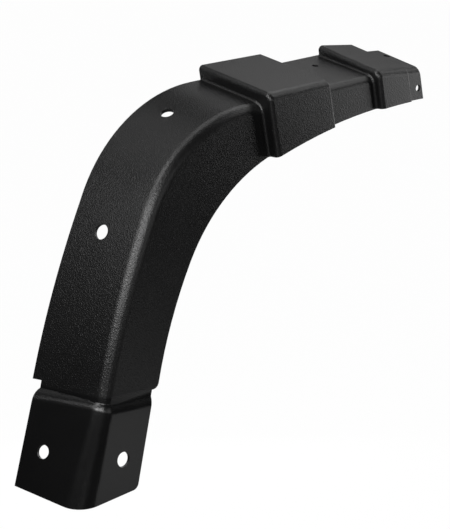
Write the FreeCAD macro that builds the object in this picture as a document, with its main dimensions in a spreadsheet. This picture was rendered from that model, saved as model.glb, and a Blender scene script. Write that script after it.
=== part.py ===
import FreeCAD, Part
import math
import os
import re
import Sketcher
from FreeCAD import Placement, Rotation, Vector

NODE = "fender_flare"

# Driving sizes in millimetres and degrees. The origin is the centre of the foot's lip hole, on the outer
# face of the foot's lip. X runs along the vehicle, Y points inboard and Z points up.
SIZES = {
    # moulded sheet
    "wall": 3.2,
    "draft": 11.0,
    # ridge path of the leg and arch, where the web and the lip meet
    "lip_setback": 3.0,
    "crease_x": -20.2,
    "crease_z": 53.1,
    "leg_angle": 77.2,
    "leg_radius": 887.0,
    "arch_angle": 65.7,
    "arch_radius": 140.5,
    "top_angle": 4.0,
    "far_angle": -1.0,
    "web_width": 80.0,
    "leg_low_width": 84.3,
    "ridge_radius": 12.0,
    # steps along the top, each measured on the ridge line
    "step_lean": 11.0,
    "step_one": 171.1,
    "step_two": 248.1,
    "step_three": 310.6,
    "step_four": 351.1,
    "far_end": 370.4,
    "step_radius": 4.5,
    "step_fillet": 2.5,
    "small_step_radius": 1.5,
    "small_step_fillet": 1.2,
    "end_step_radius": 0.9,
    "end_step_fillet": 0.6,
    # raised blocks and the tabs between them
    "block_one_rise": 13.2,
    "block_one_proud": 12.6,
    "block_one_width": 82.0,
    "block_one_far_width": 78.5,
    "tab_one_rise": 5.1,
    "tab_one_proud": 6.0,
    "tab_one_width": 67.8,
    "block_two_rise": 13.2,
    "block_two_proud": 14.3,
    "block_two_width": 65.0,
    "block_two_far_width": 59.0,
    "tab_two_rise": 11.3,
    "tab_two_proud": 11.0,
    "tab_two_width": 43.0,
    "far_draft": 13.2,
    "top_ridge_radius": 9.0,
    # foot tab, its ridge line placed at the height of the crease
    "foot_angle": 72.5,
    "foot_draft": 15.0,
    "foot_width": 74.0,
    "foot_top_width": 77.0,
    "foot_ridge_x": -21.5,
    "foot_ridge_radius": 16.5,
    "foot_ridge_growth": 0.09,
    "shoulder_rise": 5.7,
    "shoulder_radius": 16.0,
    "foot_bottom_x": -47.9,
    "foot_bottom_z": -39.9,
    "foot_bottom_rise": 8.3,
    "foot_web_rise": 11.2,
    "notch_height": 11.3,
    # trimmed edge of the lip, from the foot up the leg and along the top
    "foot_lip_x": 35.4,
    "foot_lip_angle": 77.1,
    "foot_corner_radius": 7.0,
    "lip_step_height": 4.8,
    "lip_step_radius": 7.0,
    "lip_leg_x": 43.5,
    "lip_leg_angle": 78.3,
    "lip_leg_radius": 427.0,
    "lip_arch_angle": 62.3,
    "lip_arch_radius": 181.9,
    "lip_top_angle": 19.0,
    "lip_top_radius": 650.0,
    # bolt holes, each web hole at its place along the path and its Y
    "hole_diameter": 14.3,
    "foot_hole_diameter": 12.8,
    "arch_hole_diameter": 12.5,
    "tab_hole_diameter": 6.5,
    "foot_hole_y": 52.8,
    "foot_hole_z": 1.6,
    "leg_hole_angle": 67.5,
    "leg_hole_y": 49.3,
    "arch_hole_angle": 25.8,
    "arch_hole_y": 53.0,
    "tab_one_hole_x": 283.9,
    "tab_one_hole_y": 48.3,
    "tab_two_hole_x": 361.8,
    "tab_two_hole_y": 30.0,
    "end_hole_x": 367.2,
    "end_hole_z": 303.0,
    # stock that the forms reach past the trimmed edges, and past each other inside
    "depth": 88.0,
    "reach": 10.0,
    "lap": 13.0,
    "leg_lap": 2.0,
}

# Places worked out from the driving sizes
LEG_X = "(crease_x + leg_radius * sin(leg_angle))"
LEG_Z = "(crease_z - leg_radius * cos(leg_angle))"
ARCH_X = f"({LEG_X} - (leg_radius - arch_radius) * sin(arch_angle))"
ARCH_Z = f"({LEG_Z} + (leg_radius - arch_radius) * cos(arch_angle))"
TOP_X = f"({ARCH_X} - arch_radius * sin(top_angle))"
TOP_Z = f"({ARCH_Z} + arch_radius * cos(top_angle))"

FOOT_TOP_Z = "(crease_z + shoulder_rise)"
WEB_MIDDLE = "(lip_setback + tab_two_width / 2)"

doc = FreeCAD.newDocument("fender_flare")
sheet = doc.addObject("Spreadsheet::Sheet", "sizes")
for row, (alias, number) in enumerate(SIZES.items(), start=1):
    sheet.set(f"A{row}", alias)
    sheet.set(f"B{row}", str(number))
    sheet.setAlias(f"B{row}", alias)
doc.recompute()


def cell(word):
    """A word of an expression: the name of a size becomes the cell that holds it."""
    return f"sizes.{word.group()}" if word.group() in SIZES else word.group()


def bound(text):
    """The expression with each size's name pointing at its cell."""
    return re.sub(r"\b[a-z][a-z_]*\b", cell, text)


def value(text):
    """The number that an expression of the sizes gives now."""
    return float(sheet.evalExpression(bound(text)))


def top_line(x):
    """Height of the ridge line over the blocks, as an expression of X."""
    return f"({TOP_Z} + ({x} - {TOP_X}) * tan(top_angle))"


def far_line(x):
    """Height of the ridge line past the third step, which dips towards the far end."""
    return f"({top_line('step_three')} + ({x} - step_three) * tan(far_angle))"


def foot_x(z):
    """X of the foot's ridge corner at a height, as an expression."""
    return f"(foot_ridge_x - (crease_z - {z}) / tan(foot_angle))"


def plane_of(body, role):
    """One of the body's own origin planes."""
    return next(feature for feature in body.Origin.OriginFeatures if feature.Role == role)


def station_sketch(body, name, x, z, tilt):
    """A sketch across the path: its x runs inboard and its y outward, turned by tilt about the Y axis."""
    sketch = body.newObject("Sketcher::SketchObject", name)
    sketch.AttachmentSupport = (plane_of(body, "YZ_Plane"), [""])
    sketch.MapMode = "FlatFace"
    base = Vector(0, value(z), value(x))
    sketch.AttachmentOffset = Placement(base, Rotation(Vector(1, 0, 0), value(tilt)))
    sketch.setExpression("AttachmentOffset.Base.y", bound(z))
    sketch.setExpression("AttachmentOffset.Base.z", bound(x))
    sketch.setExpression("AttachmentOffset.Rotation.Angle", bound(tilt))
    return sketch


def drive(sketch, kind, *where, to):
    """A dimension on the sketch, bound to an expression of the sizes."""
    start = value(to)
    if kind == "Angle":
        start = math.radians(start)
    index = sketch.addConstraint(Sketcher.Constraint(kind, *where, start))
    sketch.setExpression(f"Constraints[{index}]", bound(to))


def section(body, name, place, lip, web, slope, width, depth, radius):
    """The form's cross-section: flat lip face, rounded ridge and sloping web, closed behind.

    place is (x, z, tilt); lip is the lip face's Y; web is a point (y, outward) on the web's line.
    """
    sketch = station_sketch(body, name, *place)
    web_end = f"({web[1]} + ({width} - ({web[0]})) * tan({slope}))"
    lean = math.radians(value(slope))
    y0, y1 = value(lip), value(width)
    low, top = value(f"-({depth})"), value(web_end)
    bend = value(radius)
    hub = Vector(y0 + bend, top - (y1 - y0 - bend) * math.tan(lean) - bend / math.cos(lean), 0)
    a, b = Vector(y0, low, 0), hub + Vector(-bend, 0, 0)
    c, d = hub + bend * Vector(-math.sin(lean), math.cos(lean), 0), Vector(y1, top, 0)
    e = Vector(y1, low, 0)
    round_corner = Part.ArcOfCircle(Part.Circle(hub, Vector(0, 0, 1), bend), math.pi / 2 + lean, math.pi)
    sketch.addGeometry(Part.LineSegment(a, b))
    sketch.addGeometry(round_corner)
    sketch.addGeometry(Part.LineSegment(c, d))
    sketch.addGeometry(Part.LineSegment(d, e))
    sketch.addGeometry(Part.LineSegment(e, a))
    sketch.addConstraint(Sketcher.Constraint("Tangent", 0, 2, 1, 2))
    sketch.addConstraint(Sketcher.Constraint("Tangent", 2, 1, 1, 1))
    sketch.addConstraint(Sketcher.Constraint("Coincident", 2, 2, 3, 1))
    sketch.addConstraint(Sketcher.Constraint("Coincident", 3, 2, 4, 1))
    sketch.addConstraint(Sketcher.Constraint("Coincident", 4, 2, 0, 1))
    sketch.addConstraint(Sketcher.Constraint("Vertical", 0))
    sketch.addConstraint(Sketcher.Constraint("Vertical", 3))
    sketch.addConstraint(Sketcher.Constraint("Horizontal", 4))
    drive(sketch, "Radius", 1, to=radius)
    drive(sketch, "Angle", 2, to=slope)
    drive(sketch, "DistanceX", -1, 1, 0, 1, to=lip)
    drive(sketch, "DistanceX", -1, 1, 3, 1, to=width)
    drive(sketch, "DistanceY", -1, 1, 3, 1, to=web_end)
    drive(sketch, "DistanceY", -1, 1, 4, 1, to=f"-({depth})")
    return sketch


def loft(body, name, sections):
    """A straight-sided loft through the sections."""
    feature = body.newObject("PartDesign::AdditiveLoft", name)
    feature.Profile = sections[0]
    feature.Sections = [(sketch, [""]) for sketch in sections[1:]]
    feature.Ruled = True
    return feature


def turn(body, name, sketch, angle):
    """A revolution of the section about the sketch's own inboard axis."""
    feature = body.newObject("PartDesign::Revolution", name)
    feature.Profile = sketch
    feature.ReferenceAxis = (sketch, ["H_Axis"])
    feature.setExpression("Angle", bound(angle))
    return feature


def on_station(x, z, tilt, y, outward):
    """The point at inboard y and the outward distance on a station across the path."""
    turned = math.radians(value(tilt))
    away = value(outward)
    return Vector(value(x) + away * math.sin(turned), value(y), value(z) + away * math.cos(turned))


def soften(body, name, radius, probe):
    """Round the edge that passes through the probe point, and those that run on smoothly from it."""
    doc.recompute()
    gaps = [edge.distToShape(Part.Vertex(probe))[0] for edge in body.Shape.Edges]
    nearest = gaps.index(min(gaps)) + 1
    last = body.Tip
    feature = body.newObject("PartDesign::Fillet", name)
    feature.Base = (last, [f"Edge{nearest}"])
    feature.setExpression("Radius", bound(radius))


def form(name, inset, spare, widest=None):
    """The solid that fills the flare, its faces set in by inset and its open sides reaching out by spare.

    Given widest, every part is made that wide, so that no wall is left standing past a narrow tab.
    """
    body = doc.addObject("PartDesign::Body", name)
    foot_set_in = f"({inset} * sqrt(1 + tan(foot_draft) ^ 2 + 1 / tan(foot_angle) ^ 2))"

    def level(part, z):
        """A level section of the foot, whose ridge leans out and opens wider towards the bottom."""
        x = foot_x(z)
        radius = f"(foot_ridge_radius + foot_ridge_growth * ({FOOT_TOP_Z} - {z}) - {inset})"
        return section(body, f"{name}_{part}", (x, z, "-90"), inset, ("0", f"(-{foot_set_in})"), "foot_draft",
                       f"(foot_top_width + {spare})", f"(depth + {spare} + crease_x - {x})", radius)

    foot_top = f"({FOOT_TOP_Z} - {inset})"
    high = level("foot_high", foot_top)
    low = level("foot_low", f"(foot_bottom_z - lap - {spare})")
    loft(body, f"{name}_foot", [high, low])
    soften(body, f"{name}_shoulder", f"(shoulder_radius - {inset})",
           on_station(foot_x(foot_top), foot_top, "-90", WEB_MIDDLE,
                      f"({WEB_MIDDLE} * tan(foot_draft) - {foot_set_in})"))

    def across(part, place, proud, rise, slope, width, offset="0", radius="ridge_radius"):
        """One section: proud and rise are measured from the arch's lip plane and web."""
        lip = f"(lip_setback - ({proud}) + {inset})"
        web = ("lip_setback", f"({offset} + {rise} - {inset} / cos({slope}))")
        inboard = f"(lip_setback + {widest or width} + {spare})"
        behind = f"(depth + {spare} - ({offset} + {rise}))"
        bend = f"({radius} - {inset})"
        return section(body, f"{name}_{part}", place, lip, web, slope, inboard, behind, bend)

    leg = across("leg_section", (LEG_X, LEG_Z, "-(leg_angle + leg_lap)"), "0", "0", "draft",
                 "leg_low_width", "leg_radius")
    turn(body, f"{name}_leg", leg, "leg_angle + leg_lap - arch_angle")
    arch = across("arch_section", (ARCH_X, ARCH_Z, "-arch_angle"), "0", "0", "draft",
                  "web_width", "arch_radius")
    turn(body, f"{name}_arch", arch, "arch_angle - top_angle")
    top = across("top_section", (TOP_X, TOP_Z, "-top_angle"), "0", "0", "draft", "web_width")
    run = body.newObject("PartDesign::Pad", f"{name}_top")
    run.Profile = top
    run.setExpression("Length", bound(f"(step_one + lap - {TOP_X}) / cos(top_angle)"))

    def span(part, line, slope, start, end, near_width, far_width):
        """A block or tab between two leaning stations on a straight stretch of the ridge line."""
        ends = []
        for where, station, width in (("near", start, near_width), ("far", end, far_width)):
            place = (station, line(station), "-step_lean")
            ends.append(across(f"{part}_{where}", place, f"{part}_proud", f"{part}_rise", slope, width,
                               radius="top_ridge_radius"))
        return loft(body, f"{name}_{part}", ends)

    span("block_one", top_line, "draft", f"(step_one + {inset})", f"(step_two - {inset})",
         "block_one_width", "block_one_far_width")
    span("tab_one", top_line, "draft", "(step_two - lap)", "(step_three + lap)",
         "tab_one_width", "tab_one_width")
    span("block_two", far_line, "far_draft", f"(step_three + {inset})", f"(step_four - {inset})",
         "block_two_width", "block_two_far_width")
    span("tab_two", far_line, "far_draft", "(step_four - lap)", f"(far_end + {spare})",
         "tab_two_width", "tab_two_width")
    return body


def step_edge(station, line, rise, slope="draft"):
    """A point on a step's edge, halfway across the narrowest tab's web."""
    outward = f"({rise} + tab_two_width / 2 * tan({slope}))"
    return on_station(station, line(station), "-step_lean", WEB_MIDDLE, outward)


outer = form("outer_form", "0", "0")
soften(outer, "step_three_foot", "step_fillet", step_edge("step_three", far_line, "tab_one_rise"))
soften(outer, "step_one_foot", "step_fillet", step_edge("step_one", top_line, "0"))
soften(outer, "step_one_top", "step_radius", step_edge("step_one", top_line, "block_one_rise"))
soften(outer, "step_three_top", "step_radius",
       step_edge("step_three", far_line, "block_two_rise", "far_draft"))
soften(outer, "step_two_top", "small_step_radius", step_edge("step_two", top_line, "block_one_rise"))
soften(outer, "step_four_top", "end_step_radius",
       step_edge("step_four", far_line, "block_two_rise", "far_draft"))
soften(outer, "step_two_foot", "small_step_fillet", step_edge("step_two", top_line, "tab_one_rise"))
soften(outer, "step_four_foot", "end_step_fillet",
       step_edge("step_four", far_line, "tab_two_rise", "far_draft"))
inner = form("inner_form", "wall", "reach", "leg_low_width")

# The sheet is what is left between the two forms.
flare = outer
flare.Label = NODE
hollow = flare.newObject("PartDesign::Boolean", "hollow")
hollow.Type = "Cut"
hollow.setObjects([inner])


def cut_away(name, sketch):
    """Remove everything the sketch covers, on both sides of its plane."""
    feature = flare.newObject("PartDesign::Pocket", name)
    feature.Profile = sketch
    feature.SideType = "Symmetric"
    feature.Type = "ThroughAll"


def polygon(sketch, corners):
    """A closed outline of straight lines, each corner held by its two distances from the sketch's origin."""
    points = [Vector(value(across), value(up), 0) for across, up in corners]
    for start, end in zip(points, points[1:] + points[:1]):
        sketch.addGeometry(Part.LineSegment(start, end))
    for index, (across, up) in enumerate(corners):
        sketch.addConstraint(Sketcher.Constraint("Coincident", index, 2, (index + 1) % len(points), 1))
        drive(sketch, "DistanceX", -1, 1, index, 1, to=across)
        drive(sketch, "DistanceY", -1, 1, index, 1, to=up)


# The lip's free edge: up the foot, out over a short step, round the wheel and along the top.
STEP_Z = "(crease_z + lip_step_height)"
LIP_LEG_X = "(lip_leg_x + lip_leg_radius * sin(lip_leg_angle))"
LIP_LEG_Z = f"({STEP_Z} - lip_leg_radius * cos(lip_leg_angle))"
LIP_ARCH_X = f"({LIP_LEG_X} - (lip_leg_radius - lip_arch_radius) * sin(lip_arch_angle))"
LIP_ARCH_Z = f"({LIP_LEG_Z} + (lip_leg_radius - lip_arch_radius) * cos(lip_arch_angle))"
LIP_TOP_X = f"({LIP_ARCH_X} + (lip_top_radius - lip_arch_radius) * sin(lip_top_angle))"
LIP_TOP_Z = f"({LIP_ARCH_Z} - (lip_top_radius - lip_arch_radius) * cos(lip_top_angle))"
FLOOR_Z = "(foot_bottom_z - 2 * lap)"
BEYOND_X = "(far_end + 2 * lap)"


def foot_lip_x(z):
    """X of the foot's lip edge at a height, as an expression."""
    return f"(foot_lip_x + ({z} - crease_z) / tan(foot_lip_angle))"


def lip_arc(hub_x, hub_z, radius, low, high):
    """An arc of the lip's edge, between the places where the edge runs at two angles from the horizontal."""
    circle = Part.Circle(Vector(value(hub_x), value(hub_z), 0), Vector(0, 0, 1), value(radius))
    return Part.ArcOfCircle(circle, math.radians(90 + value(low)), math.radians(90 + value(high)))


trim = flare.newObject("Sketcher::SketchObject", "lip_outline")
trim.AttachmentSupport = (plane_of(flare, "XZ_Plane"), [""])
trim.MapMode = "FlatFace"
far_turn = math.acos(value(f"({BEYOND_X} - {LIP_TOP_X}) / lip_top_radius"))
foot_low = Vector(value(foot_lip_x(FLOOR_Z)), value(FLOOR_Z), 0)
foot_high = Vector(value(foot_lip_x(STEP_Z)), value(STEP_Z), 0)
step_out = Vector(value("lip_leg_x"), value(STEP_Z), 0)
beyond_high = Vector(value(BEYOND_X), value(LIP_TOP_Z) + value("lip_top_radius") * math.sin(far_turn), 0)
beyond_low = Vector(value(BEYOND_X), value(FLOOR_Z), 0)
trim.addGeometry(Part.LineSegment(foot_low, foot_high))
trim.addGeometry(Part.LineSegment(foot_high, step_out))
trim.addGeometry(lip_arc(LIP_LEG_X, LIP_LEG_Z, "lip_leg_radius", "lip_arch_angle", "lip_leg_angle"))
trim.addGeometry(lip_arc(LIP_ARCH_X, LIP_ARCH_Z, "lip_arch_radius", "lip_top_angle", "lip_arch_angle"))
far_edge = str(math.degrees(far_turn) - 90)
trim.addGeometry(lip_arc(LIP_TOP_X, LIP_TOP_Z, "lip_top_radius", far_edge, "lip_top_angle"))
trim.addGeometry(Part.LineSegment(beyond_high, beyond_low))
trim.addGeometry(Part.LineSegment(beyond_low, foot_low))
for joined in ((0, 2, 1, 1), (1, 2, 2, 2), (4, 1, 5, 1), (5, 2, 6, 1), (6, 2, 0, 1)):
    trim.addConstraint(Sketcher.Constraint("Coincident", *joined))
trim.addConstraint(Sketcher.Constraint("Tangent", 2, 1, 3, 2))
trim.addConstraint(Sketcher.Constraint("Tangent", 3, 1, 4, 2))
trim.addConstraint(Sketcher.Constraint("Horizontal", 1))
trim.addConstraint(Sketcher.Constraint("Vertical", 5))
trim.addConstraint(Sketcher.Constraint("Horizontal", 6))
drive(trim, "DistanceX", -1, 1, 0, 2, to=foot_lip_x(STEP_Z))
drive(trim, "DistanceY", -1, 1, 0, 2, to=STEP_Z)
drive(trim, "Angle", 0, to="foot_lip_angle")
drive(trim, "DistanceY", -1, 1, 6, 1, to=FLOOR_Z)
drive(trim, "DistanceX", -1, 1, 1, 2, to="lip_leg_x")
for index, radius, hub in ((2, "lip_leg_radius", LIP_LEG_X), (3, "lip_arch_radius", LIP_ARCH_X),
                           (4, "lip_top_radius", LIP_TOP_X)):
    drive(trim, "Radius", index, to=radius)
    drive(trim, "DistanceX", -1, 1, index, 3, to=hub)
drive(trim, "DistanceX", -1, 1, 5, 1, to=BEYOND_X)
cut_away("lip_trim", trim)

# The foot's bottom edge rises along the vehicle and inboard.
bottom = station_sketch(flare, "foot_bottom", "foot_bottom_x", "foot_bottom_z", "-foot_bottom_rise")
polygon(bottom, [("-lap", "-lap * tan(foot_web_rise)"),
                 ("depth + lap", "(depth + lap) * tan(foot_web_rise)"),
                 ("depth + lap", "-depth"), ("-lap", "-depth")])
cut_away("foot_trim", bottom)

# The web's free edge: it leans in down the foot, steps out at the notch and leans in again up the leg.
NOTCH_Z = "(crease_z + notch_height)"
LEG_TOP_Z = "(crease_z + leg_radius * (cos(arch_angle) - cos(leg_angle)))"
BESIDE_Y = "(lip_setback + leg_low_width + lap)"
side = station_sketch(flare, "web_outline", "0", "0", "0")
polygon(side, [("foot_width", "foot_bottom_z"), ("foot_top_width", "crease_z"), ("foot_top_width", NOTCH_Z),
               ("lip_setback + leg_low_width", NOTCH_Z), ("lip_setback + web_width", LEG_TOP_Z),
               ("lip_setback + web_width", f"{LEG_TOP_Z} + lap"), (BESIDE_Y, f"{LEG_TOP_Z} + lap"),
               (BESIDE_Y, FLOOR_Z), ("foot_width", FLOOR_Z)])
cut_away("web_trim", side)


def drill(name, place, y, outward, lean, diameter):
    """A round hole square to the web: half its outline beside the axis, turned about that axis."""
    sketch = station_sketch(flare, f"{name}_outline", *place)
    slope = math.radians(value(lean))
    out = Vector(-math.sin(slope), math.cos(slope), 0)
    side = Vector(math.cos(slope), math.sin(slope), 0) * (value(diameter) / 2)
    far = value("lap")
    centre = Vector(value(y), value(outward), 0)
    corners = [centre - far * out, centre + far * out, centre + far * out + side, centre - far * out + side]
    for index in range(4):
        sketch.addGeometry(Part.LineSegment(corners[index], corners[(index + 1) % 4]))
    for index in range(4):
        sketch.addConstraint(Sketcher.Constraint("Coincident", index, 2, (index + 1) % 4, 1))
    sketch.addConstraint(Sketcher.Constraint("Parallel", 0, 2))
    sketch.addConstraint(Sketcher.Constraint("Perpendicular", 0, 1))
    sketch.addConstraint(Sketcher.Constraint("Perpendicular", 0, 3))
    drive(sketch, "Angle", 0, to=f"90 + {lean}")
    drive(sketch, "Distance", 0, to="2 * lap")
    drive(sketch, "Distance", 1, to=f"{diameter} / 2")
    drive(sketch, "DistanceX", -1, 1, 0, 1, to=f"{y} + lap * sin({lean})")
    drive(sketch, "DistanceY", -1, 1, 0, 1, to=f"{outward} - lap * cos({lean})")
    feature = flare.newObject("PartDesign::Groove", name)
    feature.Profile = sketch
    feature.ReferenceAxis = (sketch, ["Edge1"])
    feature.Angle = 360


def web_height(y, rise, slope="draft"):
    """Height of a web over the ridge line at inboard y, as an expression."""
    return f"({rise} + ({y} - lip_setback) * tan({slope}))"


# Trimmed corners of the lip and of the foot
RISE = "tan(foot_bottom_rise)"
FOOT_FOOT_X = "(foot_lip_x - crease_z / tan(foot_lip_angle))"
LIP_RUN = f"(foot_bottom_z + ({FOOT_FOOT_X} - foot_bottom_x) * {RISE})"
LIP_CORNER_Z = f"({LIP_RUN} / (1 - {RISE} / tan(foot_lip_angle)))"
soften(flare, "lip_step_corner", "lip_step_radius",
       Vector(value("lip_leg_x"), value("lip_setback + wall / 2"), value(STEP_Z)))
soften(flare, "foot_lip_corner", "foot_corner_radius",
       Vector(value(foot_lip_x(LIP_CORNER_Z)), value("wall / 2"), value(LIP_CORNER_Z)))

# Web holes
FOOT_LEAN = "(atan(tan(foot_draft) * sin(foot_angle)) / 1 deg)"
drill("foot_hole", (foot_x("foot_hole_z"), "foot_hole_z", "-foot_angle"), "foot_hole_y",
      f"(foot_hole_y * tan({FOOT_LEAN}))", FOOT_LEAN, "foot_hole_diameter")
drill("leg_hole", (LEG_X, LEG_Z, "-leg_hole_angle"), "leg_hole_y",
      web_height("leg_hole_y", "leg_radius"), "draft", "hole_diameter")
drill("arch_hole", (ARCH_X, ARCH_Z, "-arch_hole_angle"), "arch_hole_y",
      web_height("arch_hole_y", "arch_radius"), "draft", "arch_hole_diameter")
drill("tab_one_hole", ("tab_one_hole_x", top_line("tab_one_hole_x"), "-top_angle"), "tab_one_hole_y",
      web_height("tab_one_hole_y", "tab_one_rise"), "draft", "tab_hole_diameter")
drill("tab_two_hole", ("tab_two_hole_x", far_line("tab_two_hole_x"), "-far_angle"), "tab_two_hole_y",
      web_height("tab_two_hole_y", "tab_two_rise", "far_draft"), "far_draft", "tab_hole_diameter")

# The two lip holes run straight inboard; the foot's one is the origin.
lip_holes = flare.newObject("Sketcher::SketchObject", "lip_hole_outlines")
lip_holes.AttachmentSupport = (plane_of(flare, "XZ_Plane"), [""])
lip_holes.MapMode = "FlatFace"
for index, (x, z, diameter) in enumerate((("0", "0", "hole_diameter"),
                                          ("end_hole_x", "end_hole_z", "tab_hole_diameter"))):
    lip_holes.addGeometry(Part.Circle(Vector(value(x), value(z), 0), Vector(0, 0, 1), value(diameter) / 2))
    drive(lip_holes, "Radius", index, to=f"{diameter} / 2")
    if x == "0":
        lip_holes.addConstraint(Sketcher.Constraint("Coincident", index, 3, -1, 1))
    else:
        drive(lip_holes, "DistanceX", -1, 1, index, 3, to=x)
        drive(lip_holes, "DistanceY", -1, 1, index, 3, to=z)
drilled = flare.newObject("PartDesign::Pocket", "lip_holes")
drilled.Profile = lip_holes
drilled.SideType = "Symmetric"
drilled.setExpression("Length", bound("2 * lap"))

doc.recompute()
for thing in doc.Objects:
    if "Invalid" in thing.State or "Error" in thing.State:
        raise RuntimeError(f"{thing.Name} did not build: {thing.State}")
    if hasattr(thing, "Shape") and thing.isDerivedFrom("PartDesign::Feature"):
        if thing.Shape.isNull() or not thing.Shape.isValid():
            raise RuntimeError(f"{thing.Name} has no sound shape")
if len(flare.Shape.Solids) != 1:
    raise RuntimeError("the flare is not one piece")
os.makedirs("parts", exist_ok=True)
flare.Shape.exportStep(f"parts/{NODE}.step")
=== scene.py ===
import logging
import math
from dataclasses import dataclass, field
from enum import Enum

import bmesh
import bpy
from mathutils import Euler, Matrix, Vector
from mathutils.bvhtree import BVHTree


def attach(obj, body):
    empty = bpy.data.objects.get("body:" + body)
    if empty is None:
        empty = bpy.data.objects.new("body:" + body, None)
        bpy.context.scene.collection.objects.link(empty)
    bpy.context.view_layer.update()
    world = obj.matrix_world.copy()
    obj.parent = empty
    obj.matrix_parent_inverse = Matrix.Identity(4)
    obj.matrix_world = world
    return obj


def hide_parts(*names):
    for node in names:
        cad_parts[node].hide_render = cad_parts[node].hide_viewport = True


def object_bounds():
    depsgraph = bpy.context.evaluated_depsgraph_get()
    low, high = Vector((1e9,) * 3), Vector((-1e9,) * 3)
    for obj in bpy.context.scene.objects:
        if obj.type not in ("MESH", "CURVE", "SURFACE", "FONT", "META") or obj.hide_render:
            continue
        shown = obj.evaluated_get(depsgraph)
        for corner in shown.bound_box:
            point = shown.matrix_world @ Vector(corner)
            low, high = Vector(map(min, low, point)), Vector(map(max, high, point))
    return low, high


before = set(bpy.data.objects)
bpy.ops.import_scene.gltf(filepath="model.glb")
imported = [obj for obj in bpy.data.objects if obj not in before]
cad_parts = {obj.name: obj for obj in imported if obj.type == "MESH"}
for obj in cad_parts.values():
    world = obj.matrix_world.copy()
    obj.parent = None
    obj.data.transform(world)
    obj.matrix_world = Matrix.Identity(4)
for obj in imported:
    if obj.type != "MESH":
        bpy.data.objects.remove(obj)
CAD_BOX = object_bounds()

LOG = logging.getLogger("fender_flare_scene")
MM = 0.001


class Body(str, Enum):
    """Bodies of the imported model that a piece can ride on."""

    ROOT = "root"


class Node(str, Enum):
    """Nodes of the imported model."""

    FLARE = "fender_flare"


class Slot(str, Enum):
    """Material slots of the record."""

    PLASTIC = "plastic"


class Surface(Enum):
    """The kinds of surface on the moulded sheet, in the order of the skin's material slots."""

    GRAINED = 0
    MOULD_SIDE = 1
    CUT_EDGE = 2


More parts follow.
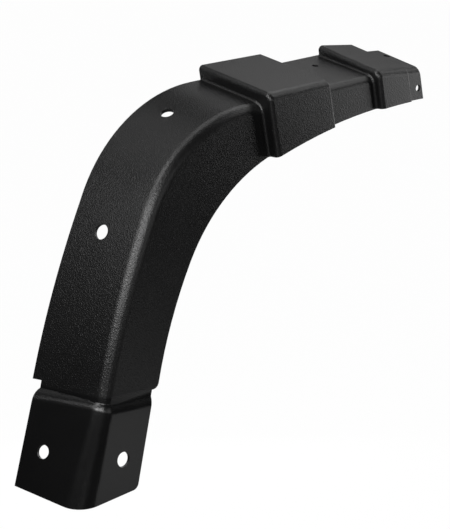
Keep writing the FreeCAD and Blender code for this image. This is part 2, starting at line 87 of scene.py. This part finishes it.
@dataclass(frozen=True)
class Pebbles:
    """A shader node group that gives the sheet's pebble grain as a height and two masks.

    The sheet is drawn furthest over the foot, and there its grain is pulled almost smooth. The lip is
    drawn too, and its grain is thinner than the web's.

    Attributes:
        name: Name of the node group.
        cell: Width of one pebble, in metres.
        pebble_round: How softly neighbouring pebbles run together, from 0 to 1.
        pebble_share: Height of a pebble as a share of a grit point's.
        grit_cell: Spacing of the grit points, in metres.
        grit_foot: Level of the grit's noise at which a point starts to rise.
        grit_peak: Level of the grit's noise at which a point is at its full height.
        fine_cell: Width of the fine speckle between the pebbles, in metres.
        fine_detail: Octaves of finer noise in the speckle.
        patch: Width of the slow patches in which the grain is stronger or weaker, in metres.
        patch_detail: Octaves of finer noise in the patches.
        pulled_below: Height under which the grain is pulled smooth, in metres.
        whole_above: Height over which the grain is whole, in metres.
        pulled_rest: Share of the grain that is left where it is pulled smooth.
        lip_within: Distance from the lip's plane up to which the lip's grain runs, in metres.
        web_beyond: Distance from it past which the web's grain runs, in metres.
        lip_rest: Share of the grain's height that is left on the lip.
    """

    name: str = "pebble_grain"
    cell: float = 1.4 * MM
    pebble_round: float = 0.6
    pebble_share: float = 0.15
    grit_cell: float = 1.1 * MM
    grit_foot: float = 0.42
    grit_peak: float = 0.90
    fine_cell: float = 0.5 * MM
    fine_detail: float = 2.0
    patch: float = 60.0 * MM
    patch_detail: float = 3.0
    pulled_below: float = 57.0 * MM
    whole_above: float = 61.0 * MM
    pulled_rest: float = 0.25
    lip_within: float = 4.0 * MM
    web_beyond: float = 11.0 * MM
    lip_rest: float = 0.6

    def group(self) -> bpy.types.NodeTree:
        """Build the group once and hand it out again afterwards.

        Returns:
            The node group, with a Strength input and Height, Speckle and Grain outputs.
        """
        known = bpy.data.node_groups.get(self.name)
        if known is not None:
            return known
        tree = bpy.data.node_groups.new(self.name, "ShaderNodeTree")
        tree.interface.new_socket("Strength", in_out="INPUT", socket_type="NodeSocketFloat")
        for output in ("Height", "Speckle", "Grain"):
            tree.interface.new_socket(output, in_out="OUTPUT", socket_type="NodeSocketFloat")
        entry = tree.nodes.new("NodeGroupInput")
        leave = tree.nodes.new("NodeGroupOutput")
        place = tree.nodes.new("ShaderNodeTexCoord").outputs["Object"]
        axes = tree.nodes.new("ShaderNodeSeparateXYZ")
        tree.links.new(place, axes.inputs["Vector"])
        grain = self._share(tree, axes.outputs["Z"], self.pulled_below, self.whole_above, self.pulled_rest)
        lip = self._share(tree, axes.outputs["Y"], self.lip_within, self.web_beyond, self.lip_rest)
        both = self._math(tree, "ADD", self._low_pebbles(tree, place), self._grit_points(tree, place))
        deep = self._math(tree, "MULTIPLY", both, entry.outputs["Strength"])
        left = self._math(tree, "MULTIPLY", grain, lip)
        fine = self._noise(tree, place, self.fine_cell, self.fine_detail)
        patches = self._noise(tree, place, self.patch, self.patch_detail)
        tree.links.new(self._math(tree, "MULTIPLY", deep, left), leave.inputs["Height"])
        tree.links.new(self._math(tree, "MULTIPLY", fine, patches), leave.inputs["Speckle"])
        tree.links.new(grain, leave.inputs["Grain"])
        return tree

    def _low_pebbles(self, tree: bpy.types.NodeTree, place: bpy.types.NodeSocket) -> bpy.types.NodeSocket:
        """Make the low, rounded pebbles.

        Args:
            tree: The node tree that gets the nodes.
            place: Output socket of the object's coordinates.

        Returns:
            Output socket of their height.
        """
        pebbles = tree.nodes.new("ShaderNodeTexVoronoi")
        pebbles.feature = "SMOOTH_F1"
        pebbles.inputs["Scale"].default_value = 1.0 / self.cell
        pebbles.inputs["Smoothness"].default_value = self.pebble_round
        tree.links.new(place, pebbles.inputs["Vector"])
        low = tree.nodes.new("ShaderNodeMath")
        low.operation = "MULTIPLY"
        low.inputs[1].default_value = self.pebble_share
        tree.links.new(pebbles.outputs["Distance"], low.inputs[0])
        return low.outputs[0]

    def _grit_points(self, tree: bpy.types.NodeTree, place: bpy.types.NodeSocket) -> bpy.types.NodeSocket:
        """Make the grit points that stand up between the pebbles.

        Args:
            tree: The node tree that gets the nodes.
            place: Output socket of the object's coordinates.

        Returns:
            Output socket of their height.
        """
        points = tree.nodes.new("ShaderNodeMapRange")
        points.inputs["From Min"].default_value = self.grit_foot
        points.inputs["From Max"].default_value = self.grit_peak
        tree.links.new(self._noise(tree, place, self.grit_cell, 0.0), points.inputs["Value"])
        return points.outputs["Result"]

    @staticmethod
    def _noise(
        tree: bpy.types.NodeTree, place: bpy.types.NodeSocket, cell: float, detail: float
    ) -> bpy.types.NodeSocket:
        """Make a noise over the object.

        Args:
            tree: The node tree that gets the node.
            place: Output socket of the object's coordinates.
            cell: Width of one wave of the noise, in metres.
            detail: Octaves of finer noise in it.

        Returns:
            Output socket of the noise.
        """
        noise = tree.nodes.new("ShaderNodeTexNoise")
        noise.inputs["Scale"].default_value = 1.0 / cell
        noise.inputs["Detail"].default_value = detail
        tree.links.new(place, noise.inputs["Vector"])
        return noise.outputs["Fac"]

    @staticmethod
    def _share(
        tree: bpy.types.NodeTree, along: bpy.types.NodeSocket, start: float, end: float, rest: float
    ) -> bpy.types.NodeSocket:
        """Make the mask of how much of the grain is left along one axis.

        Args:
            tree: The node tree that gets the node.
            along: Output socket of the coordinate along the axis.
            start: Coordinate up to which only the rest of the grain is left, in metres.
            end: Coordinate past which the grain is whole, in metres.
            rest: Share of the grain that is left before the start.

        Returns:
            Output socket of the mask.
        """
        share = tree.nodes.new("ShaderNodeMapRange")
        share.interpolation_type = "SMOOTHSTEP"
        share.inputs["From Min"].default_value = start
        share.inputs["From Max"].default_value = end
        share.inputs["To Min"].default_value = rest
        share.inputs["To Max"].default_value = 1.0
        tree.links.new(along, share.inputs["Value"])
        return share.outputs["Result"]

    @staticmethod
    def _math(
        tree: bpy.types.NodeTree, operation: str, first: bpy.types.NodeSocket, second: bpy.types.NodeSocket
    ) -> bpy.types.NodeSocket:
        """Join two values with a Math node.

        Args:
            tree: The node tree that gets the node.
            operation: The Math node's operation.
            first: Output socket of the first value.
            second: Output socket of the second value.

        Returns:
            Output socket of the joined value.
        """
        node = tree.nodes.new("ShaderNodeMath")
        node.operation = operation
        tree.links.new(first, node.inputs[0])
        tree.links.new(second, node.inputs[1])
        return node.outputs[0]


@dataclass(frozen=True)
class PlasticFinish:
    """Black moulded plastic, with a measure of grain.

    Attributes:
        name: Name of the material.
        dark: Base colour where the speckle is weakest.
        light: Base colour where it is strongest.
        rough_low: Roughness of the grained sheet where the speckle is weakest.
        rough_high: Roughness of the grained sheet where it is strongest.
        rough_pulled: Roughness where the grain is pulled smooth.
        grain: Depth of the grain in the bump, from 0 to 1.
        relief: Height of the bump, in metres.
        specular: Specular level of the plastic.
    """

    name: str
    dark: tuple[float, float, float]
    light: tuple[float, float, float]
    rough_low: float
    rough_high: float
    rough_pulled: float
    grain: float
    relief: float
    specular: float = 0.5

    def material(self, pebbles: Pebbles) -> bpy.types.Material:
        """Make the material.

        Args:
            pebbles: The grain that the surface carries.

        Returns:
            The new material.
        """
        made = bpy.data.materials.new(self.name)
        made.use_nodes = True
        tree = made.node_tree
        shader = tree.nodes["Principled BSDF"]
        shader.inputs["Specular IOR Level"].default_value = self.specular
        grain = tree.nodes.new("ShaderNodeGroup")
        grain.node_tree = pebbles.group()
        grain.inputs["Strength"].default_value = self.grain
        colour = tree.nodes.new("ShaderNodeMix")
        colour.data_type = "RGBA"
        colour.inputs["A"].default_value = (*self.dark, 1.0)
        colour.inputs["B"].default_value = (*self.light, 1.0)
        grained = tree.nodes.new("ShaderNodeMapRange")
        grained.inputs["To Min"].default_value = self.rough_low
        grained.inputs["To Max"].default_value = self.rough_high
        rough = tree.nodes.new("ShaderNodeMix")
        rough.inputs["A"].default_value = self.rough_pulled
        bump = tree.nodes.new("ShaderNodeBump")
        bump.inputs["Distance"].default_value = self.relief
        tree.links.new(grain.outputs["Speckle"], colour.inputs["Factor"])
        tree.links.new(grain.outputs["Speckle"], grained.inputs["Value"])
        tree.links.new(grain.outputs["Grain"], rough.inputs["Factor"])
        tree.links.new(grained.outputs["Result"], rough.inputs["B"])
        tree.links.new(grain.outputs["Height"], bump.inputs["Height"])
        tree.links.new(colour.outputs["Result"], shader.inputs["Base Color"])
        tree.links.new(rough.outputs["Result"], shader.inputs["Roughness"])
        tree.links.new(bump.outputs["Normal"], shader.inputs["Normal"])
        return made


FINISHES: dict[Surface, PlasticFinish] = {
    Surface.GRAINED: PlasticFinish(
        name="grained_black",
        dark=(0.0015, 0.0015, 0.0016),
        light=(0.008, 0.008, 0.0083),
        rough_low=0.31,
        rough_high=0.39,
        rough_pulled=0.22,
        grain=1.0,
        relief=0.15 * MM,
    ),
    Surface.MOULD_SIDE: PlasticFinish(
        name="mould_side_black",
        dark=(0.012, 0.012, 0.0124),
        light=(0.032, 0.032, 0.033),
        rough_low=0.40,
        rough_high=0.55,
        rough_pulled=0.40,
        grain=0.25,
        relief=0.05 * MM,
    ),
    Surface.CUT_EDGE: PlasticFinish(
        name="cut_edge_black",
        dark=(0.006, 0.006, 0.0062),
        light=(0.016, 0.016, 0.0164),
        rough_low=0.45,
        rough_high=0.60,
        rough_pulled=0.45,
        grain=0.5,
        relief=0.08 * MM,
    ),
}


@dataclass
class FlareSkin:
    """The visible skin of the moulded flare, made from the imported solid.

    Attributes:
        name: Name of the piece.
        merge: Distance within which the solid's loose corners become one, in metres.
        rim_angle: Bend above which an edge is a trimmed rim, in degrees.
        smooth_angle: Bend up to which shading runs on over an edge, in degrees.
        rim_radius: Rounding of the trimmed rims, in metres.
        rim_segments: Faces across that rounding.
        sheet_limit: Thickness under which a face belongs to the sheet and not to a cut edge, in metres.
        pebbles: Grain of the sheet.
    """

    name: str = "moulded_flare"
    merge: float = 0.002 * MM
    rim_angle: float = 50.0
    smooth_angle: float = 35.0
    rim_radius: float = 0.4 * MM
    rim_segments: int = 2
    sheet_limit: float = 7.5 * MM
    pebbles: Pebbles = field(default_factory=Pebbles)

    def build(self) -> bpy.types.Object:
        """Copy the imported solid's surface as one joined mesh and sort its faces.

        Returns:
            The skin's object, at the origin.
        """
        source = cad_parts[Node.FLARE.value]
        work = bmesh.new()
        work.from_mesh(source.data)
        bmesh.ops.remove_doubles(work, verts=work.verts, dist=self.merge)
        bmesh.ops.dissolve_degenerate(work, edges=work.edges, dist=self.merge)
        self._sort_faces(work)
        mesh = bpy.data.meshes.new(self.name)
        work.to_mesh(mesh)
        work.free()
        skin = bpy.data.objects.new(self.name, mesh)
        bpy.context.scene.collection.objects.link(skin)
        return skin

    def _sort_faces(self, work: bmesh.types.BMesh) -> None:
        """Give each face the material slot of its kind of surface, and mark the sharp edges.

        Args:
            work: The joined mesh, changed in place.
        """
        tree = BVHTree.FromBMesh(work)
        rim = math.radians(self.rim_angle)
        smooth = math.radians(self.smooth_angle)
        for edge in work.edges:
            edge.smooth = edge.calc_face_angle(math.pi) < smooth
        for face in work.faces:
            face.smooth = True
            face.material_index = self._sheet_or_edge(tree, face).value
        outermost = min(work.faces, key=lambda face: face.calc_center_median().y)
        for face in self._joined_to(outermost, rim):
            face.material_index = Surface.GRAINED.value

    def _sheet_or_edge(self, tree: BVHTree, face: bmesh.types.BMFace) -> Surface:
        """Tell a face of the sheet from a cut edge by the material behind it.

        Args:
            tree: Search tree of the whole mesh.
            face: The face in question.

        Returns:
            MOULD_SIDE for a face of the sheet, CUT_EDGE for a trimmed one.
        """
        start = face.calc_center_median() - face.normal * self.merge
        _, _, _, depth = tree.ray_cast(start, -face.normal)
        if depth is not None and depth < self.sheet_limit:
            return Surface.MOULD_SIDE
        return Surface.CUT_EDGE

    @staticmethod
    def _joined_to(first: bmesh.types.BMFace, bend: float) -> list[bmesh.types.BMFace]:
        """Walk over the mesh from a face without crossing any sharp edge.

        Args:
            first: The face to start from.
            bend: Largest angle of an edge that is crossed, in radians.

        Returns:
            Every face that was reached.
        """
        reached = {first}
        waiting = [first]
        while waiting:
            face = waiting.pop()
            for edge in face.edges:
                if edge.calc_face_angle(math.pi) > bend:
                    continue
                for other in edge.link_faces:
                    if other not in reached:
                        reached.add(other)
                        waiting.append(other)
        return list(reached)

    def dress(self, skin: bpy.types.Object) -> None:
        """Round the trimmed rims, even the shading and give each kind of surface its finish.

        Args:
            skin: The skin's object.
        """
        rims = skin.modifiers.new("trimmed_rims", "BEVEL")
        rims.width = self.rim_radius
        rims.segments = self.rim_segments
        rims.limit_method = "ANGLE"
        rims.angle_limit = math.radians(self.rim_angle)
        rims.miter_outer = "MITER_ARC"
        even = skin.modifiers.new("even_shading", "WEIGHTED_NORMAL")
        even.keep_sharp = True
        for kind in Surface:
            skin.data.materials.append(FINISHES[kind].material(self.pebbles))
        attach(skin, Body.ROOT.value)
        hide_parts(Node.FLARE.value)


@dataclass(frozen=True)
class SoftBox:
    """A rectangular studio light.

    Attributes:
        name: Name of the light.
        place: Its centre, in metres.
        aim: The point it faces.
        size: Its width and height, in metres.
        power: Its power, in watts.
    """

    name: str
    place: tuple[float, float, float]
    aim: tuple[float, float, float]
    size: tuple[float, float]
    power: float

    def build(self) -> bpy.types.Object:
        """Hang the light in the scene.

        Returns:
            The light's object.
        """
        lamp = bpy.data.lights.new(self.name, "AREA")
        lamp.shape = "RECTANGLE"
        lamp.size, lamp.size_y = self.size
        lamp.energy = self.power
        made = bpy.data.objects.new(self.name, lamp)
        made.location = self.place
        made.rotation_euler = facing(Vector(self.place), Vector(self.aim))
        made.visible_camera = False
        bpy.context.scene.collection.objects.link(made)
        return made


MIDDLE = (0.12, 0.0, 0.18)
FAR_BLOCKS = (0.30, 0.0, 0.30)
FOOT = (0.0, 0.0, 0.0)
SOFT_BOXES: tuple[SoftBox, ...] = (
    SoftBox("left_back", (-0.86, 0.27, 0.77), MIDDLE, (0.4, 0.28), 1.10),
    SoftBox("over_back", (-0.10, 0.61, 1.19), MIDDLE, (0.9, 0.5), 0.76),
    SoftBox("over_left", (-0.57, 0.0, 1.16), MIDDLE, (0.5, 0.5), 3.80),
    SoftBox("overhead", (0.12, 0.04, 1.38), MIDDLE, (0.6, 0.6), 2.20),
    SoftBox("behind", (0.12, 1.20, 0.35), MIDDLE, (0.8, 0.8), 6.00),
    SoftBox("right_behind", (0.90, 0.95, 0.05), MIDDLE, (0.6, 0.6), 4.00),
    SoftBox("right", (1.40, 0.05, 0.45), MIDDLE, (0.8, 0.8), 4.00),
    SoftBox("right_back", (0.93, 0.56, 0.87), MIDDLE, (0.7, 0.6), 0.55),
    SoftBox("over_right", (0.72, 0.22, 1.20), MIDDLE, (0.5, 0.5), 1.39),
    SoftBox("over_right_front", (0.91, -0.32, 1.03), MIDDLE, (0.7, 0.5), 1.56),
    SoftBox("right_side", (0.85, -0.30, 0.32), FAR_BLOCKS, (0.4, 0.4), 1.20),
    SoftBox("left_side", (-0.98, -0.05, 0.64), MIDDLE, (0.42, 0.28), 0.90),
    SoftBox("left_of_camera", (-0.92, -0.30, 0.66), MIDDLE, (0.42, 0.28), 4.30),
    SoftBox("over_camera", (-0.72, -0.78, 0.67), MIDDLE, (0.4, 0.4), 4.20),
    SoftBox("front_left", (-0.49, -1.03, 0.45), MIDDLE, (0.4, 0.25), 0.70),
    SoftBox("low_front_left", (-0.76, -0.82, -0.22), MIDDLE, (0.5, 0.2), 0.40),
    SoftBox("front", (0.12, -1.18, 0.39), MIDDLE, (0.5, 0.5), 0.80),
    SoftBox("front_of_foot", (0.50, -0.70, -0.22), FOOT, (0.4, 0.25), 0.20),
)


@dataclass
class Studio:
    """Pale floor, white surroundings, soft lights and the camera.

    Attributes:
        target: Point in the middle of the picture.
        azimuth: Where the camera stands round the object, in degrees.
        elevation: Height of the camera's line over the horizon, in degrees.
        distance: Distance from the camera to the target, in metres.
        lens: Focal length for a picture as wide as the sensor, in millimetres.
        sensor: Width of the sensor, in millimetres.
        floor_drop: Depth of the floor under the object, in metres.
        floor_size: Side of the floor, in metres.
        floor_rough: Roughness of the floor's paint.
        floor_pale: Paleness of the floor as the camera sees it.
        floor_bounce: Paleness of the floor as the object's plastic sees it.
        floor_glow: Share of the floor that shows as plain white to the camera.
        sky: Strength of the light from all round.
        lights: The soft boxes.
    """

    target: tuple[float, float, float] = (0.12542, 0.003, 0.1611)
    azimuth: float = 318.0
    elevation: float = 12.0
    distance: float = 2.3
    lens: float = 200.0
    sensor: float = 36.0
    floor_drop: float = 0.30
    floor_size: float = 60.0
    floor_rough: float = 0.9
    floor_pale: float = 0.95
    floor_bounce: float = 0.2
    floor_glow: float = 0.985
    sky: float = 0.02
    lights: tuple[SoftBox, ...] = SOFT_BOXES

    def build(self) -> None:
        """Make the floor, the surroundings, the lights and the camera."""
        self._floor()
        self._surroundings()
        for light in self.lights:
            light.build()
        self._camera()
        bpy.context.scene.view_settings.view_transform = "Standard"

    def _floor(self) -> None:
        """Lay the pale floor, which keeps the object's shadow."""
        half = self.floor_size / 2.0
        level = CAD_BOX[0][2] - self.floor_drop
        mesh = bpy.data.meshes.new("floor")
        corners = [(-half, -half, level), (half, -half, level), (half, half, level), (-half, half, level)]
        mesh.from_pydata(corners, [], [(0, 1, 2, 3)])
        floor = bpy.data.objects.new("floor", mesh)
        bpy.context.scene.collection.objects.link(floor)
        floor.data.materials.append(self._floor_material())

    def _floor_material(self) -> bpy.types.Material:
        """Pale paint that glows white to the camera.

        Returns:
            The floor's material.
        """
        made = bpy.data.materials.new("pale_floor")
        made.use_nodes = True
        tree = made.node_tree
        paint = tree.nodes["Principled BSDF"]
        paint.inputs["Roughness"].default_value = self.floor_rough
        paint.inputs["Specular IOR Level"].default_value = 0.0
        glow = tree.nodes.new("ShaderNodeEmission")
        glow.inputs["Strength"].default_value = 1.0
        seen = seen_directly(tree)
        colour = tree.nodes.new("ShaderNodeMix")
        colour.data_type = "RGBA"
        colour.inputs["A"].default_value = (self.floor_bounce, self.floor_bounce, self.floor_bounce, 1.0)
        colour.inputs["B"].default_value = (self.floor_pale, self.floor_pale, self.floor_pale, 1.0)
        tree.links.new(seen, colour.inputs["Factor"])
        tree.links.new(colour.outputs["Result"], paint.inputs["Base Color"])
        share = tree.nodes.new("ShaderNodeMath")
        share.operation = "MULTIPLY"
        share.inputs[1].default_value = self.floor_glow
        mix = tree.nodes.new("ShaderNodeMixShader")
        tree.links.new(seen, share.inputs[0])
        tree.links.new(share.outputs[0], mix.inputs["Fac"])
        tree.links.new(paint.outputs["BSDF"], mix.inputs[1])
        tree.links.new(glow.outputs["Emission"], mix.inputs[2])
        tree.links.new(mix.outputs["Shader"], tree.nodes["Material Output"].inputs["Surface"])
        return made

    def _surroundings(self) -> None:
        """White all round for the camera, and a plain weak light for everything else."""
        world = bpy.data.worlds.new("studio")
        bpy.context.scene.world = world
        world.use_nodes = True
        tree = world.node_tree
        light = tree.nodes["Background"]
        light.inputs["Color"].default_value = (1.0, 1.0, 1.0, 1.0)
        light.inputs["Strength"].default_value = self.sky
        white = tree.nodes.new("ShaderNodeBackground")
        white.inputs["Color"].default_value = (1.0, 1.0, 1.0, 1.0)
        white.inputs["Strength"].default_value = 1.0
        mix = tree.nodes.new("ShaderNodeMixShader")
        tree.links.new(seen_directly(tree), mix.inputs["Fac"])
        tree.links.new(light.outputs["Background"], mix.inputs[1])
        tree.links.new(white.outputs["Background"], mix.inputs[2])
        tree.links.new(mix.outputs["Shader"], tree.nodes["World Output"].inputs["Surface"])

    def _camera(self) -> None:
        """Stand the camera where the photograph was taken from."""
        turn = math.radians(self.azimuth)
        lift = math.radians(self.elevation)
        back = Vector((math.sin(turn) * math.cos(lift), -math.cos(turn) * math.cos(lift), math.sin(lift)))
        eye = Vector(self.target) + back * self.distance
        lens = bpy.data.cameras.new("camera")
        lens.sensor_fit = "HORIZONTAL"
        lens.sensor_width = self.sensor
        lens.lens = self.lens
        made = bpy.data.objects.new("camera", lens)
        made.location = eye
        made.rotation_euler = facing(eye, Vector(self.target))
        bpy.context.scene.collection.objects.link(made)
        bpy.context.scene.camera = made


def facing(start: Vector, end: Vector) -> Euler:
    """Turn that points an object's -Z axis from one place to another.

    Args:
        start: Where the object is.
        end: What it faces.

    Returns:
        The Euler angles.
    """
    return (end - start).to_track_quat("-Z", "Y").to_euler()


def seen_directly(tree: bpy.types.NodeTree) -> bpy.types.NodeSocket:
    """A mask that is 1 for the camera's own rays and 0 for the rays that light the object.

    Args:
        tree: The node tree that gets the node.

    Returns:
        Output socket of the mask.
    """
    return tree.nodes.new("ShaderNodeLightPath").outputs["Is Camera Ray"]


def main() -> None:
    """Build and dress the flare, then the studio round it."""
    logging.basicConfig(level=logging.INFO, format="%(message)s")
    flare = FlareSkin()
    skin = flare.build()
    flare.dress(skin)
    LOG.info("%s: %d faces", skin.name, len(skin.data.polygons))
    Studio().build()
    LOG.info("studio: floor, surroundings, lights and camera")


if __name__ == "__main__":
    main()
